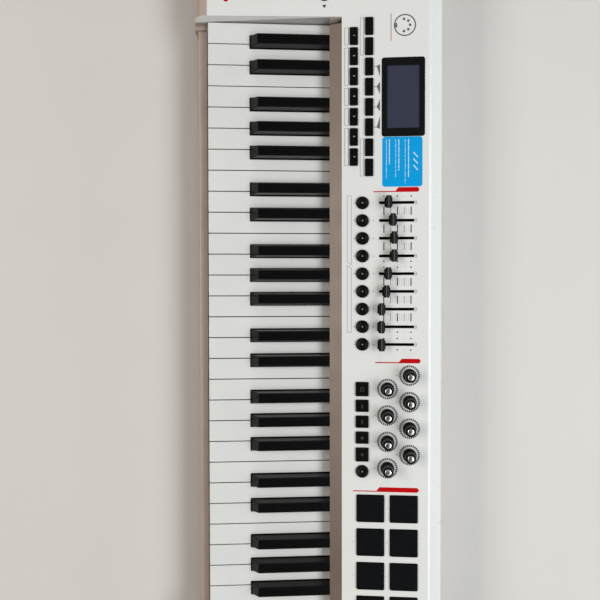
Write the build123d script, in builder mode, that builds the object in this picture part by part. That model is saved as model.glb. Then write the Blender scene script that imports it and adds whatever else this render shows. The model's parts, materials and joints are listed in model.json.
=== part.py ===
from build123d import *

import os
from math import atan2, cos, degrees, radians, sin, tan

# A 49-note MIDI controller keyboard. Row frame: +X to the player's right, +Y away from the player,
# +Z up, origin at the centre of the footprint on the surface that the rubber feet stand on.

os.makedirs("parts", exist_ok=True)

# ---------------------------------------------------------------- driving dimensions (mm)
white_pitch = 23.5  # one white key, so an octave is 164.5
octave_whites = 7
octaves = 4  # and one more C at the top
white_count = octaves * octave_whites + 1
key_top_z = 54.0  # top of the white keys above the table
black_rise = 12.0
left_panel_width = 128.0
right_cheek_width = 24.0
well_gap = 0.75  # between the outer keys and the trim beside them
nose_depth = 15.0  # how far the cheeks stand ahead of the white keys
case_depth = 277.0
floor_z = 4.0  # underside of the case
parting_z = 26.0  # where the top and bottom shells meet
wall = 2.5
skin_gap = 0.2  # between a piece and the inside of the shell over it
trim_front = 4.85  # width of the trim beside the keys, at their front ends
trim_back = 0.3  # and where it meets the lip

keys_width = white_count * white_pitch
case_width = left_panel_width + right_cheek_width + keys_width + 2 * well_gap
keys_left = -case_width / 2 + left_panel_width + well_gap
keys_right = keys_left + keys_width
well_left = keys_left - well_gap
well_right = keys_right + well_gap
case_front = -case_depth / 2
case_back = case_depth / 2
keys_front = case_front + nose_depth

# The control panel is a plane that rises towards the back; v runs up its slope from its front edge.
panel_front = keys_front + 148.0
panel_front_z = key_top_z + 20.0
panel_tilt = 8.0
panel_length = 96.3
cheek_front_z = key_top_z + 3.5
cheek_tilt = degrees(atan2(panel_front_z - cheek_front_z, panel_front - keys_front))
panel_back = panel_front + panel_length * cos(radians(panel_tilt))
panel_back_z = panel_front_z + panel_length * sin(radians(panel_tilt))


def sloping_plane(y, z, tilt):
    """A plane that starts at the first key's left edge and rises towards the back."""
    normal = (0, -sin(radians(tilt)), cos(radians(tilt)))
    return Plane(origin=(keys_left, y, z), x_dir=(1, 0, 0), z_dir=normal)


panel = sloping_plane(panel_front, panel_front_z, panel_tilt)
cheek = sloping_plane(keys_front, cheek_front_z, cheek_tilt)


def spot(surface, x, v, height=0.0):
    """A plane parallel to a surface, at x along it, v up its slope and height above it."""
    return Plane(origin=surface.from_local_coords((x, v, height)), x_dir=surface.x_dir, z_dir=surface.z_dir)


def normal_axis(surface):
    """The axis that stands on a surface."""
    return Axis(surface.origin, surface.z_dir)


def cheek_z(y):
    """Height of the cheeks' top face at y."""
    return cheek_front_z + (y - keys_front) * tan(radians(cheek_tilt))


def save(piece, name):
    """Labels a finished piece and writes it as parts/NAME.step."""
    piece.part.label = name
    export_step(piece.part, f"parts/{name}.step")


# ---------------------------------------------------------------- places of the controls
# Each is x from the first key's left edge and v up the panel's slope.
function_cap = (18.7, 8.4)
function_pitch = 22.0
function_rows = [(20.8, 13.1, 7), (10.4, 29.9, 8)]  # first x, v, count
function_places = [(x + function_pitch * i, v) for x, v, count in function_rows for i in range(count)]

slider_count = 9
slider_x = 203.2
slider_pitch = 19.48
slider_low_v = 43.0
slider_travel = 34.0
slider_rest_v = [50.8, 55.5, 56.7, 56.6, 50.3, 48.5, 43.3, 43.0, 43.4]
slider_places = [slider_x + slider_pitch * i for i in range(slider_count)]

round_radius = 6.75
round_places = [(x, 22.6) for x in slider_places]

knob_pitch = 29.3
knob_rows = [(408.3, 50.1), (393.2, 74.3)]  # first x, v
knob_places = [(x + knob_pitch * i, v) for x, v in knob_rows for i in range(4)]

transport_v = 22.4
transport_depth = 13.6
transport_caps = [(408.7, 15.4), (427.2, 13.0), (444.9, 13.0), (462.6, 13.0), (481.4, 15.0)]  # x, width
record_place = (500.1, transport_v)

pad_size = 30.0
pad_pitch = 37.75
pad_places = [(541.3 + pad_pitch * i, v) for v in (31.5, 68.2) for i in range(4)]

display_place = (88.0, 67.0)
display_size = (86.0, 46.8)
screen_size = (68.2, 35.1)

# Controls on the panel left of the keys, placed on the cheeks' slope.
octave_v = 129.8
octave_places = [(-47.6, octave_v), (-25.6, octave_v)]
wheel_places = {"pitch_wheel": -86.0, "mod_wheel": -40.0}
wheel_v = 63.2

# Sockets on the back face, x in the row frame.
socket_z = 42.0
switch_x = -396.0
dc_x = -372.0
usb_x = -348.0
midi_places = [-318.0, -292.0]
pedal_places = [-264.0, -240.0]
lock_x = -218.0

# ---------------------------------------------------------------- sizes of the moving pieces
cap_rise = 2.4  # top of a button above the panel
cap_gap = 0.4
flange_width = 1.0
flange_top = 0.3  # clearance between the flange and the underside of the panel
flange_thickness = 1.2
board_drop = 14.0  # top of the control board below the panel's face
board_thickness = 1.6
switch_height = 1.6
button_travel = 1.2
octave_board_drop = 11.0

knob_shaft_radius = 3.0
slider_stem = (1.2, 3.0)
slider_slot_width = 2.2

wheel_radius = 25.0
wheel_width = 11.0
wheel_rise = 8.0
wheel_axle_radius = 3.0
wheel_slot = (13.0, 45.0)
wheel_y = keys_front + wheel_v * cos(radians(cheek_tilt))
wheel_z = cheek_z(wheel_y) + wheel_rise - wheel_radius

pivot_y = keys_front + 185.0
pivot_z = key_top_z - 8.0
pivot_radius = 2.0
tail_end = pivot_y + 12.0

screw_places = [
    (-402.0, -108.0), (-306.0, -108.0), (405.0, -108.0),
    (-402.0, 118.0), (-196.0, 118.0), (0.0, 118.0), (200.0, 118.0), (402.0, 118.0),
]
screw_radius = 1.5
screw_head_radius = 3.0
foot_places = [(x, y) for x in (-370.0, 0.0, 370.0) for y in (-118.0, 112.0)]
foot_radius = 8.0

# ---------------------------------------------------------------- case shells
nose_radius = 13.0
crease_radius = 5.0
back_radius = 18.0
end_radius = 3.5
back_shoulder_z = key_top_z + 19.4


def corner(shape, x, y):
    """The vertex of a flat profile nearest to a point."""
    return shape.vertices().sort_by_distance((x, y, 0))[0]


def side_outline(low_z):
    """The case's side profile down to low_z, in a YZ sketch: nose, cheek, panel, rear slope, back."""
    nose_top = cheek_z(case_front)
    with BuildSketch(Plane.XY) as outline:
        with BuildLine():
            Polyline(
                (case_front, low_z),
                (case_front, nose_top),
                (panel_front, panel_front_z),
                (panel_back, panel_back_z),
                (case_back, back_shoulder_z),
                (case_back, low_z),
                close=True,
            )
        make_face()
        fillet(corner(outline, case_front, nose_top), nose_radius)
        fillet(corner(outline, panel_back, panel_back_z), crease_radius)
        fillet(corner(outline, case_back, back_shoulder_z), back_radius)
    return outline.sketch


shell_outline = side_outline(parting_z)
cavity_outline = offset(side_outline(parting_z - 30), amount=-wall, kind=Kind.INTERSECTION)
trim_slant = (trim_front - trim_back) / (panel_front - keys_front)


def trim_width(y):
    """Width of the trim beside the keys at y: it narrows towards the lip."""
    return trim_front - (y - keys_front) * trim_slant


def trim_plan():
    """Plan of the well for the keys and the trim round it, from ahead of the case to the panel."""
    ahead = case_front - 5
    with BuildSketch(Plane.XY) as plan:
        with BuildLine():
            Polyline(
                (well_left - trim_width(ahead), ahead),
                (well_right + trim_width(ahead), ahead),
                (well_right + trim_width(panel_front), panel_front),
                (well_left - trim_width(panel_front), panel_front),
                close=True,
            )
        make_face()
    return plan.sketch


def facing_back(x, y):
    """An upright plane at x, y and the sockets' height that faces backwards."""
    return Plane(origin=(x, y, socket_z), x_dir=(-1, 0, 0), z_dir=(0, 1, 0))


def hole(surface, x, v, outline, depth=8.0):
    """Cuts an outline from the current part through a surface, from just above it down to depth."""
    with BuildSketch(spot(surface, x, v, 6.0)) as opening:
        add(outline)
    extrude(opening.sketch, amount=-(depth + 6.0), mode=Mode.SUBTRACT)


def wheel_dish_outline():
    """The rhombic dish round a wheel, with rounded corners."""
    with BuildSketch(Plane.XY) as dish:
        with BuildLine():
            Polyline((20, 0), (0, 44), (-20, 0), (0, -44), close=True)
        make_face()
        fillet(dish.vertices(), 9)
    return dish.sketch


def cap_hole_outline(width, depth):
    """The rounded rectangular hole for a cap, with clearance all round."""
    with BuildSketch(Plane.XY) as outline:
        RectangleRounded(width + 2 * cap_gap, depth + 2 * cap_gap, 1.0)
    return outline.sketch


def round_hole_outline(radius):
    """A round hole."""
    with BuildSketch(Plane.XY) as outline:
        Circle(radius)
    return outline.sketch


with BuildPart() as top_case:
    with BuildSketch(Plane.YZ.offset(-case_width / 2)):
        add(shell_outline)
    extrude(amount=case_width)
    ends = top_case.faces().filter_by(Axis.X)
    rims = ends.edges().filter_by(lambda edge: edge.center().Z > parting_z + 0.1)
    fillet(rims, end_radius)
    with BuildSketch(Plane.YZ.offset(-case_width / 2 + wall)):
        add(cavity_outline)
    extrude(amount=case_width - 2 * wall, mode=Mode.SUBTRACT)
    # posts for the case screws and bosses for the control board
    with BuildSketch(Plane.XY.offset(parting_z)):
        with Locations(*screw_places):
            Circle(3.6)
    extrude(until=Until.NEXT)
    with BuildSketch(spot(panel, 0, 0, -board_drop)):
        with Locations(*[(x, v) for x in (4, 186, 386, 520, 674) for v in (5, 84)]):
            Circle(2.2)
    extrude(until=Until.NEXT)
    with BuildSketch(spot(cheek, 0, 0, -octave_board_drop)):
        with Locations((-60.5, octave_v), (-13.5, octave_v)):
            Circle(2.2)
    extrude(until=Until.NEXT)
    with BuildSketch(Plane.XY.offset(parting_z)):
        with Locations(*screw_places):
            Circle(screw_radius + 0.15)
    extrude(amount=14, mode=Mode.SUBTRACT)
    # the well for the keys and their trim
    with BuildSketch(Plane.XY):
        add(trim_plan())
    extrude(amount=200, mode=Mode.SUBTRACT)
    # openings for the controls
    for x, v in function_places:
        hole(panel, x, v, cap_hole_outline(*function_cap))
    for x, v in round_places:
        hole(panel, x, v, round_hole_outline(round_radius + cap_gap))
    for x, width in transport_caps:
        hole(panel, x, transport_v, cap_hole_outline(width, transport_depth))
    hole(panel, *record_place, round_hole_outline(round_radius + cap_gap))
    for x, v in octave_places:
        hole(cheek, x, v, round_hole_outline(round_radius + cap_gap))
    for x, v in pad_places:
        hole(panel, x, v, cap_hole_outline(pad_size, pad_size))
    for x, v in knob_places:
        hole(panel, x, v, round_hole_outline(knob_shaft_radius + 1.0))
    for x in slider_places:
        with BuildSketch(spot(panel, x, slider_low_v + slider_travel / 2, 6.0)):
            RectangleRounded(slider_slot_width, slider_travel + slider_stem[1] + 1.0, 1.0)
        extrude(amount=-14, mode=Mode.SUBTRACT)
    with BuildSketch(spot(panel, *display_place, 6.0)):
        RectangleRounded(display_size[0] + 0.2, display_size[1] + 0.2, 3.1)
    extrude(amount=-7.2, mode=Mode.SUBTRACT)
    with BuildSketch(spot(panel, *display_place, 6.0)):
        Rectangle(screen_size[0] + 6, screen_size[1] + 6)
    extrude(amount=-14, mode=Mode.SUBTRACT)
    for x in wheel_places.values():
        hole(cheek, x, wheel_v, wheel_dish_outline(), depth=1.2)
        with BuildSketch(spot(cheek, x, wheel_v, 6.0)):
            RectangleRounded(*wheel_slot, 3)
        extrude(amount=-14, mode=Mode.SUBTRACT)
    # openings for the sockets
    with BuildSketch(facing_back(0, case_back + 2)):
        with Locations((-switch_x, 0)):
            Rectangle(9.6, 13.6)
        with Locations((-dc_x, 0)):
            Circle(5.5)
        with Locations((-usb_x, 0)):
            Rectangle(12.4, 11.2)
        with Locations(*[(-x, 0) for x in midi_places]):
            Circle(8.2)
        with Locations(*[(-x, 0) for x in pedal_places]):
            Circle(5.7)
        with Locations((-lock_x, 0)):
            RectangleRounded(7.6, 3.4, 1)
    extrude(amount=-8, mode=Mode.SUBTRACT)
save(top_case, "top_case")

rail_inset = 2.7  # the front under the keys stands back from the cheeks
rail_top = key_top_z - 11.0
corner_reach = 5.6  # how far the trim's front corners reach in ahead of the keys
rail_left = keys_left + corner_reach + 0.4
rail_right = keys_right - corner_reach - 0.4
tray_inset = 0.8

with BuildPart() as bottom_case:
    with BuildSketch(Plane.XY.offset(floor_z)) as tray:
        RectangleRounded(case_width - 2 * tray_inset, case_depth - 2 * tray_inset, 5)
        with Locations((rail_left, case_front)):
            Rectangle(
                rail_right - rail_left, rail_inset + tray_inset, align=Align.MIN, mode=Mode.SUBTRACT
            )
    extrude(amount=parting_z - floor_z)
    chamfer(bottom_case.faces().sort_by(Axis.Z)[0].edges(), 1.2)
    with BuildSketch(Plane.XY.offset(floor_z + wall)):
        offset(tray.sketch.face(), amount=-wall, kind=Kind.INTERSECTION)
    extrude(amount=parting_z, mode=Mode.SUBTRACT)
    # the front rail under the ends of the keys
    with BuildSketch(Plane.YZ.offset(rail_left)) as rail:
        with BuildLine():
            Polyline(
                (case_front + rail_inset + tray_inset, parting_z - 1),
                (case_front + rail_inset + tray_inset, rail_top),
                (keys_front - 1.7, rail_top),
                (keys_front - 1.7, rail_top - wall),
                (case_front + rail_inset + tray_inset + wall, rail_top - wall),
                (case_front + rail_inset + tray_inset + wall, parting_z - 1),
                close=True,
            )
        make_face()
        fillet(corner(rail, case_front + rail_inset + tray_inset, rail_top), 2.2)
    extrude(amount=rail_right - rail_left)
    # screw towers, feet recesses
    with BuildSketch(Plane.XY.offset(floor_z + wall)):
        with Locations(*screw_places):
            Circle(4.6)
    extrude(amount=parting_z - floor_z - wall)
    with BuildSketch(Plane.XY.offset(floor_z)):
        with Locations(*screw_places):
            Circle(screw_head_radius + 0.4)
    extrude(amount=12, mode=Mode.SUBTRACT)
    with BuildSketch(Plane.XY.offset(floor_z)):
        with Locations(*screw_places):
            Circle(screw_radius + 0.3)
    extrude(amount=parting_z, mode=Mode.SUBTRACT)
    with BuildSketch(Plane.XY.offset(floor_z)):
        with Locations(*foot_places):
            Circle(foot_radius + 0.1)
    extrude(amount=1.0, mode=Mode.SUBTRACT)
save(bottom_case, "bottom_case")

# ---------------------------------------------------------------- trim round the keys
bevel_drop = 5.0
trim_low_z = 30.0
trim_skin = 2.2
lip_y = keys_front + 135.3
lip_z = key_top_z + 13.5
corner_back = keys_front - 1.2
trim_length = 220.0  # longer than the trim, for the prisms that shape it
nose_start = -40.0  # where those prisms start, ahead of the case's nose


def across_well(points, start, slant=0.0):
    """A prism up the cheeks' slope, from a section as (x from the first key's left edge, height above
    the cheeks), leaning by slant towards +X along its length."""
    across = Plane(origin=spot(cheek, 0, start).origin, x_dir=(1, 0, 0), z_dir=cheek.y_dir)
    with BuildPart(mode=Mode.PRIVATE) as prism:
        with BuildSketch(across) as section:
            with BuildLine():
                Polyline(*[(x, -height) for x, height in points], close=True)
            make_face()
        extrude(section.sketch, amount=trim_length, dir=cheek.y_dir + Vector(slant, 0, 0))
    return prism.part


def along_well(points, start, end):
    """A prism along X between start and end, from a profile given as (y, z)."""
    with BuildPart(mode=Mode.PRIVATE) as prism:
        with BuildSketch(Plane.YZ.offset(start)):
            with BuildLine():
                Polyline(*points, close=True)
            make_face()
        extrude(amount=end - start)
    return prism.part


def bevel(side):
    """What lies above the slope from a cheek down to the well: side -1 is left and 1 is right."""
    edge = well_gap + trim_front - nose_start * trim_slant
    inner = well_gap - 1.0
    drop = (edge - inner) * bevel_drop / trim_front
    middle = keys_width / 2
    points = [(edge, 0), (inner, -drop), (inner, 90), (edge, 90)]
    points = [(middle + side * (middle + x), height) for x, height in points]
    return across_well(points, nose_start, -side * trim_slant)


inside_well = along_well(
    [
        (corner_back, -90), (lip_y, -90), (lip_y, lip_z), (panel_front, panel_front_z),
        (panel_front, 200), (corner_back, 200),
    ],
    well_left, well_right,
)
beside_well = along_well(
    [(corner_back, 0), (panel_front, 0), (panel_front, 200), (corner_back, 200)],
    well_left - 2 * trim_front, well_right + 2 * trim_front,
)
corner_edge = well_gap + trim_width(corner_back)
corner_slope = [
    (-corner_edge, 0), (-well_gap, -bevel_drop), (3.2, -9), (corner_reach, -11.5), (corner_reach, -90),
]
corner_tops = across_well(
    [
        *corner_slope,
        *[(keys_width - x, height) for x, height in reversed(corner_slope)],
        (keys_width + corner_edge, 90), (-corner_edge, 90),
    ],
    nose_start,
)
ahead_of_keys = along_well(
    [(case_front - 20, -90), (corner_back, -90), (corner_back, 200), (case_front - 20, 200)],
    well_left - 2 * trim_front, well_right + 2 * trim_front,
)
under_lip = along_well(
    [
        (lip_y - 0.01, 0), (lip_y - 0.01, lip_z - 0.6),
        (panel_front + 1, panel_front_z - 2.6), (panel_front + 1, 0),
    ],
    well_left, well_right,
)
under_cheeks = offset(side_outline(trim_low_z - 30), amount=-(wall + skin_gap), kind=Kind.INTERSECTION)

with BuildPart() as key_surround:
    with BuildSketch(Plane.YZ.offset(well_left - 2 * trim_front)):
        add(side_outline(trim_low_z))
    extrude(amount=well_right - well_left + 4 * trim_front)
    with BuildSketch(Plane.XY):
        add(trim_plan())
    extrude(amount=200, mode=Mode.INTERSECT)
    # the walls of the well, which stand under the shell where the trim is narrow
    with BuildSketch(Plane.YZ.offset(well_left - trim_skin)):
        add(under_cheeks)
    extrude(amount=well_right - well_left + 2 * trim_skin)
    split(bisect_by=Plane.XZ.offset(-panel_front), keep=Keep.TOP)
    split(bisect_by=Plane.XY.offset(trim_low_z), keep=Keep.TOP)
    add(inside_well, mode=Mode.SUBTRACT)
    add(bevel(-1) & beside_well, mode=Mode.SUBTRACT)
    add(bevel(1) & beside_well, mode=Mode.SUBTRACT)
    add(corner_tops & ahead_of_keys, mode=Mode.SUBTRACT)
    add(under_lip, mode=Mode.SUBTRACT)
save(key_surround, "key_surround")

# ---------------------------------------------------------------- keybed
frame_x0 = keys_left + 6.0
frame_x1 = keys_right - 6.0
plate_z = 12.0
plate = 1.5
frame_front = keys_front + 10.0
frame_back = keys_front + 207.0
post_y = keys_front + 20.0
contact_y = keys_front + 110.0
contact_z = 26.0
ear_x = [keys_left - 4.0, keys_right + 4.0]
ear_x += [keys_left + (octave_whites * i + 3) * white_pitch for i in range(octaves)]
comb_y = keys_front + 203.0
comb_z = key_top_z - 0.6

with BuildPart() as keybed_frame:
    with BuildSketch(Plane.YZ.offset(frame_x0)):
        with BuildLine():
            Polyline(
                (frame_front, floor_z + wall), (frame_front, plate_z + plate),
                (frame_back, plate_z + plate), (frame_back, floor_z + wall),
                (frame_back - plate, floor_z + wall), (frame_back - plate, plate_z),
                (frame_front + plate, plate_z), (frame_front + plate, floor_z + wall),
                close=True,
            )
        make_face()
    extrude(amount=frame_x1 - frame_x0)
    # front posts that guide the white keys, and stand-offs for the contact board
    with BuildSketch(Plane.XY.offset(plate_z + plate)):
        with Locations(*[(keys_left + white_pitch * (i + 0.5), post_y) for i in range(white_count)]):
            RectangleRounded(6, 9, 2)
    extrude(amount=key_top_z - 13.5 - plate_z - plate)
    with BuildSketch(Plane.XY.offset(plate_z + plate)):
        with Locations(*[(frame_x0 + 12 + 65.6 * i, contact_y + y) for i in range(11) for y in (-14, 14)]):
            Circle(2.5)
    extrude(amount=contact_z - plate_z - plate)
    # ears that hold the pivot rod, and the wall that carries the spring comb
    for x in ear_x[2:]:
        with BuildSketch(Plane.YZ.offset(x - 0.75)):
            with BuildLine():
                Polyline((pivot_y - 8, plate_z), (pivot_y - 4, pivot_z + 4), (pivot_y + 4, pivot_z + 4),
                         (pivot_y + 8, plate_z), close=True)
            make_face()
        extrude(amount=1.5)
    for x, inward in ((ear_x[0], 10), (ear_x[1], -10)):
        with BuildSketch(Plane.YZ.offset(x)):
            with BuildLine():
                Polyline((pivot_y - 8, plate_z), (pivot_y - 5, pivot_z + 5), (pivot_y + 5, pivot_z + 5),
                         (pivot_y + 8, plate_z), close=True)
            make_face()
        extrude(amount=2.0 if inward < 0 else -2.0)
        with BuildSketch(Plane.XY.offset(plate_z)):
            with Locations((x + inward / 2 - (1 if inward > 0 else -1), pivot_y)):
                Rectangle(12, 16)
        extrude(amount=plate)
    with BuildSketch(Plane.YZ.offset(frame_x0)):
        with BuildLine():
            Polyline((frame_back - plate, plate_z), (frame_back - plate, comb_z), (comb_y - 3, comb_z),
                     (comb_y - 3, comb_z - plate), (frame_back - 2 * plate, comb_z - plate),
                     (frame_back - 2 * plate, plate_z), close=True)
        make_face()
    extrude(amount=frame_x1 - frame_x0)
    with BuildSketch(Plane.YZ.offset(keys_left - 20)):
        with Locations((pivot_y, pivot_z)):
            Circle(pivot_radius)
    extrude(amount=keys_width + 40, mode=Mode.SUBTRACT)
save(keybed_frame, "keybed_frame")

with BuildPart() as key_pivot_rod:
    with BuildSketch(Plane.YZ.offset(keys_left - 8)):
        with Locations((pivot_y, pivot_z)):
            Circle(pivot_radius)
    extrude(amount=keys_width + 16)
    chamfer(key_pivot_rod.edges().filter_by(GeomType.CIRCLE), 0.4)
save(key_pivot_rod, "key_pivot_rod")

with BuildPart() as key_contact_board:
    with BuildSketch(Plane.XY.offset(contact_z)):
        with Locations((keys_left + keys_width / 2, contact_y)):
            Rectangle(frame_x1 - frame_x0, 36)
    extrude(amount=board_thickness)
    with BuildSketch(Plane.XY.offset(contact_z + board_thickness)):
        with Locations((keys_left + keys_width / 2, contact_y)):
            Rectangle(frame_x1 - frame_x0 - 4, 16)
    extrude(amount=1.0)
    with BuildSketch(Plane.XY.offset(contact_z + board_thickness)):
        with GridLocations(keys_width / (octaves * 12 + 1), 0, octaves * 12 + 1, 1):
            with Locations((keys_left + keys_width / 2, contact_y)):
                Circle(3.2)
    extrude(amount=5.0, taper=12)
save(key_contact_board, "key_contact_board")

# ---------------------------------------------------------------- keys
key_gap = 0.9
skirt_z = key_top_z - 16.0
key_wall = 2.0
notch_y = keys_front + 46.4
shell_back = keys_front + 146.0
black_front = keys_front + 47.4
black_base = 13.7
black_side_slope = 6.4
tail_low_z = pivot_z - 5.0
tail_top_z = pivot_z + 5.0
pivot_hole = pivot_radius + 0.35
white_names = ["c", "d", "e", "f", "g", "a", "b"]
black_after = {"c": "c_sharp", "d": "d_sharp", "f": "f_sharp", "g": "g_sharp", "a": "a_sharp"}
# how far each black key's middle stands from the line between its two white neighbours
black_shift = {"c_sharp": -2.4, "d_sharp": 2.4, "f_sharp": -3.4, "g_sharp": 0.0, "a_sharp": 3.4}


def black_middle(name):
    """Middle of a black key, from the left edge of its octave."""
    white = [note for note in black_after if black_after[note] == name][0]
    return (white_names.index(white) + 1) * white_pitch + black_shift[name]


def white_rear(name, last=False):
    """The strip between the black keys that a white key's rear part fills: left and right edges."""
    i = white_names.index(name)
    left, right = i * white_pitch + key_gap / 2, (i + 1) * white_pitch - key_gap / 2
    before = white_names[i - 1] if i else "b"
    if before in black_after:
        left = black_middle(black_after[before]) + black_base / 2 + key_gap
    if name in black_after and not last:
        right = black_middle(black_after[name]) - black_base / 2 - key_gap
    return left, right


def tail(left, right, front):
    """A key's tail: a bar from front back past the pivot, with the rod's hole through it."""
    with BuildSketch(Plane.YZ.offset(left)) as bar:
        with BuildLine():
            Polyline((front, tail_low_z), (front, tail_top_z), (tail_end, tail_top_z),
                     (tail_end, tail_low_z), close=True)
        make_face()
        with Locations((pivot_y, pivot_z)):
            Circle(pivot_hole, mode=Mode.SUBTRACT)
    extrude(bar.sketch, amount=right - left)


def white_key(name, octave, last=False):
    """One hollow white key, open underneath, notched beside its black neighbours."""
    x0 = keys_left + octave * octave_whites * white_pitch
    i = white_names.index(name)
    left, right = x0 + i * white_pitch + key_gap / 2, x0 + (i + 1) * white_pitch - key_gap / 2
    rear_left, rear_right = [x0 + edge for edge in white_rear(name, last)]
    with BuildPart(mode=Mode.PRIVATE) as key:
        with BuildSketch(Plane.XY.offset(skirt_z)) as plan:
            with Locations((left, keys_front)):
                Rectangle(right - left, notch_y - keys_front, align=Align.MIN)
            with Locations((rear_left, keys_front)):
                Rectangle(rear_right - rear_left, shell_back - keys_front, align=Align.MIN)
        extrude(amount=key_top_z - skirt_z)
        top_edges = key.faces().sort_by(Axis.Z)[-1].edges()
        front_edge = top_edges.sort_by(Axis.Y)[0]
        fillet(front_edge, 1.4)
        fillet(key.faces().sort_by(Axis.Z)[-1].edges(), 0.5)
        with BuildSketch(Plane.XY.offset(skirt_z)):
            offset(plan.sketch.face(), amount=-key_wall, kind=Kind.INTERSECTION)
        extrude(amount=key_top_z - skirt_z - key_wall, mode=Mode.SUBTRACT)
        # the bar that presses the rubber contacts
        with BuildSketch(Plane.XY.offset(skirt_z)):
            with Locations((rear_left, contact_y - 3)):
                Rectangle(rear_right - rear_left, 6, align=Align.MIN)
        extrude(amount=2.5)
        ear_room = 1.8
        tail_left = rear_left + (ear_room if name == "f" else 0)
        tail_right = rear_right - (ear_room if name == "e" else 0)
        tail(tail_left, tail_right, shell_back - 6)
    return key.part


def black_key(name, octave):
    """One hollow black key: a tapered top with a sloping front on a box body."""
    middle = keys_left + octave * octave_whites * white_pitch + black_middle(name)
    with BuildPart(mode=Mode.PRIVATE) as key:
        with BuildSketch(Plane.XY.offset(key_top_z)):
            with Locations((middle, (black_front + shell_back) / 2 - 1.4)):
                Rectangle(black_base, shell_back - black_front + 2.8)
        extrude(amount=black_rise, taper=black_side_slope)
        slope = Plane(origin=(middle, black_front, key_top_z), x_dir=(1, 0, 0), z_dir=(0, -12, 8))
        split(bisect_by=slope, keep=Keep.BOTTOM)
        fillet(key.edges().group_by(Axis.Z)[-1], 1.3)
        front_corners = key.edges().filter_by(
            lambda edge: edge.center().Y < black_front + 7 and abs(edge.tangent_at(0.5).Z) > 0.5
        )
        fillet(front_corners, 0.9)
        with BuildSketch(Plane.XY.offset(key_top_z)) as base:
            with Locations((middle, (black_front + shell_back) / 2)):
                Rectangle(black_base, shell_back - black_front)
        extrude(amount=-(key_top_z - skirt_z - 2))
        with BuildSketch(Plane.XY.offset(skirt_z + 2)):
            offset(base.sketch.face(), amount=-key_wall, kind=Kind.INTERSECTION)
        extrude(amount=key_top_z - skirt_z, mode=Mode.SUBTRACT)
        with BuildSketch(Plane.XY.offset(skirt_z + 2)):
            with Locations((middle, contact_y)):
                Rectangle(black_base, 6)
        extrude(amount=2.5)
        tail(middle - black_base / 2, middle + black_base / 2, shell_back - 6)
    return key.part


for name in white_names:
    one = white_key(name, 0)
    with BuildPart() as white_set:
        for octave in range(octaves):
            add(Pos(octave * octave_whites * white_pitch, 0, 0) * one)
        if name == "c":
            add(white_key(name, octaves, last=True))
    save(white_set, f"key_{name}")

for name in black_shift:
    one = black_key(name, 0)
    with BuildPart() as black_set:
        for octave in range(octaves):
            add(Pos(octave * octave_whites * white_pitch, 0, 0) * one)
    save(black_set, f"key_{name}")

# a stamped comb of leaf springs that presses on the keys' tails
with BuildPart() as key_springs:
    with BuildSketch(Plane.XY.offset(comb_z)):
        with Locations(((frame_x0 + frame_x1) / 2, comb_y)):
            Rectangle(frame_x1 - frame_x0, 6)
        tongues = [white_rear(name) for name in white_names]
        middles = [(left + right) / 2 for left, right in tongues]
        middles += [black_middle(name) for name in black_shift]
        places = [octave * octave_whites * white_pitch + x for octave in range(octaves) for x in middles]
        places.append(keys_width - white_pitch / 2 + 3.0)
        with Locations(*[(max(frame_x0 + 3, keys_left + x), comb_y - 11) for x in places]):
            Rectangle(6, 17)
    extrude(amount=0.5)
save(key_springs, "key_springs")

# ---------------------------------------------------------------- control board and what stands on it
board_v = (3.0, 88.0)
with BuildPart() as control_board:
    with BuildSketch(spot(panel, 0, 0, -board_drop)):
        with Locations((1, board_v[0])):
            Rectangle(keys_width - 3, board_v[1] - board_v[0], align=Align.MIN)
    extrude(amount=-board_thickness)
    with BuildSketch(spot(panel, 0, 0, -board_drop)):
        tact = function_places + round_places + [(x, transport_v) for x, width in transport_caps]
        with Locations(*tact, record_place):
            Rectangle(6, 6)
    extrude(amount=switch_height - 0.4)
    with BuildSketch(spot(panel, 0, 0, -board_drop)):
        with Locations(*tact, record_place):
            Circle(1.7)
    extrude(amount=switch_height)
    with BuildSketch(spot(panel, 0, 0, -board_drop)):
        with Locations(*pad_places):
            RectangleRounded(24, 24, 2)
    extrude(amount=0.6)
    # the small board under the octave buttons
    with BuildSketch(spot(cheek, 0, 0, -octave_board_drop)):
        with Locations((-37.0, octave_v)):
            Rectangle(54, 17)
    extrude(amount=-board_thickness)
    with BuildSketch(spot(cheek, 0, 0, -octave_board_drop)):
        with Locations(*octave_places):
            Rectangle(6, 6)
    extrude(amount=switch_height)
save(control_board, "control_board")

with BuildPart() as slider_tracks:
    with BuildSketch(spot(panel, 0, 0, -board_drop)):
        with Locations(*[(x, slider_low_v + slider_travel / 2) for x in slider_places]):
            Rectangle(9, slider_travel + 14)
    extrude(amount=7)
    with BuildSketch(spot(panel, 0, 0, -board_drop + 2)):
        with Locations(*[(x, slider_low_v + slider_travel / 2) for x in slider_places]):
            Rectangle(slider_slot_width, slider_travel + slider_stem[1] + 1)
    extrude(amount=7, mode=Mode.SUBTRACT)
save(slider_tracks, "slider_tracks")

with BuildPart() as encoder_bodies:
    with BuildSketch(spot(panel, 0, 0, -board_drop)):
        with Locations(*knob_places):
            RectangleRounded(12, 12, 1)
    extrude(amount=6.5)
    with BuildSketch(spot(panel, 0, 0, -board_drop)):
        with Locations(*knob_places):
            Circle(4.6)
    extrude(amount=10.5)
    with BuildSketch(spot(panel, 0, 0, -board_drop + 1.5)):
        with Locations(*knob_places):
            Circle(knob_shaft_radius + 0.25)
    extrude(amount=12, mode=Mode.SUBTRACT)
save(encoder_bodies, "encoder_bodies")

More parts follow.
